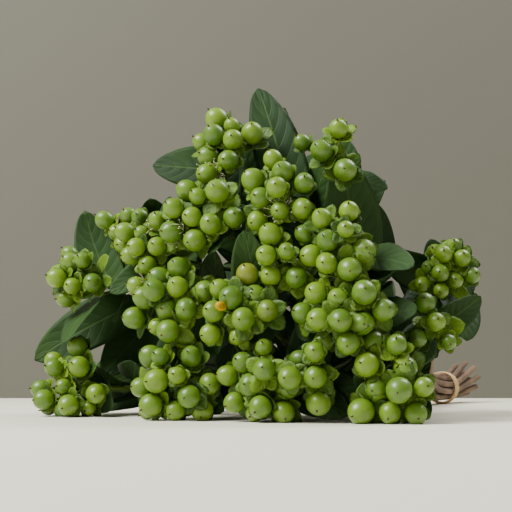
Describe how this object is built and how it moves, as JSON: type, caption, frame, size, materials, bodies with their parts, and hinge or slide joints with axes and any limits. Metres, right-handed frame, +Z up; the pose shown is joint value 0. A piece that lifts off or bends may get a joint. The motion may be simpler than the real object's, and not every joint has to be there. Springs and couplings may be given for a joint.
{
  "type": "hypericum berry stem bunch",
  "caption": "Bunch of hypericum stems with glossy green berries and dark leaves, tied near the cut ends with a rubber band and lying on its side.",
  "frame": {"origin": "middle of the bounding box, on the table that the bunch lies on", "axes": "+Z up from the table, +Y along the stems towards the cut ends, so the berries are at -Y, +X to the right seen from the berries"},
  "size_m": [0.2618, 0.4522, 0.1853],
  "materials": {
    "bark": "dry brown bark",
    "leaf": "satin leaf, stands in for living leaf",
    "berry": "glossy berry skin, stands in for living fruit",
    "band": "dull tan rubber"
  },
  "bodies": {
    "root": {"stem_01": "bark", "stem_02": "bark", "stem_03": "bark", "stem_04": "bark", "stem_05": "bark", "stem_06": "bark", "stem_07": "bark", "stem_08": "bark", "stem_09": "bark", "stem_10": "bark", "stem_11": "bark", "stem_12": "bark", "leafy_shoot_01": "leaf", "leafy_shoot_02": "leaf", "leafy_shoot_03": "leaf", "leafy_shoot_04": "leaf", "leafy_shoot_05": "leaf", "leafy_shoot_06": "leaf", "leafy_shoot_07": "leaf", "leafy_shoot_08": "leaf", "leafy_shoot_09": "leaf", "leafy_shoot_10": "leaf", "leafy_shoot_11": "leaf", "leafy_shoot_12": "leaf", "berries_apex": "berry", "berries_crown": "berry", "berries_crown_side": "berry", "berries_shoulder_right": "berry", "berries_shoulder_right_side": "berry", "berries_shoulder_left": "berry", "berries_shoulder_left_side": "berry", "berries_far_left": "berry", "berries_far_left_side": "berry", "berries_low_left": "berry", "berries_middle_left": "berry", "berries_low_middle_left": "berry", "berries_low_middle": "berry", "berries_centre": "berry", "berries_middle_right": "berry", "berries_low_right": "berry", "berries_low_right_side": "berry", "berries_far_right": "berry", "berries_low_centre": "berry", "tie_band": "band"}
  },
  "joints": []
}
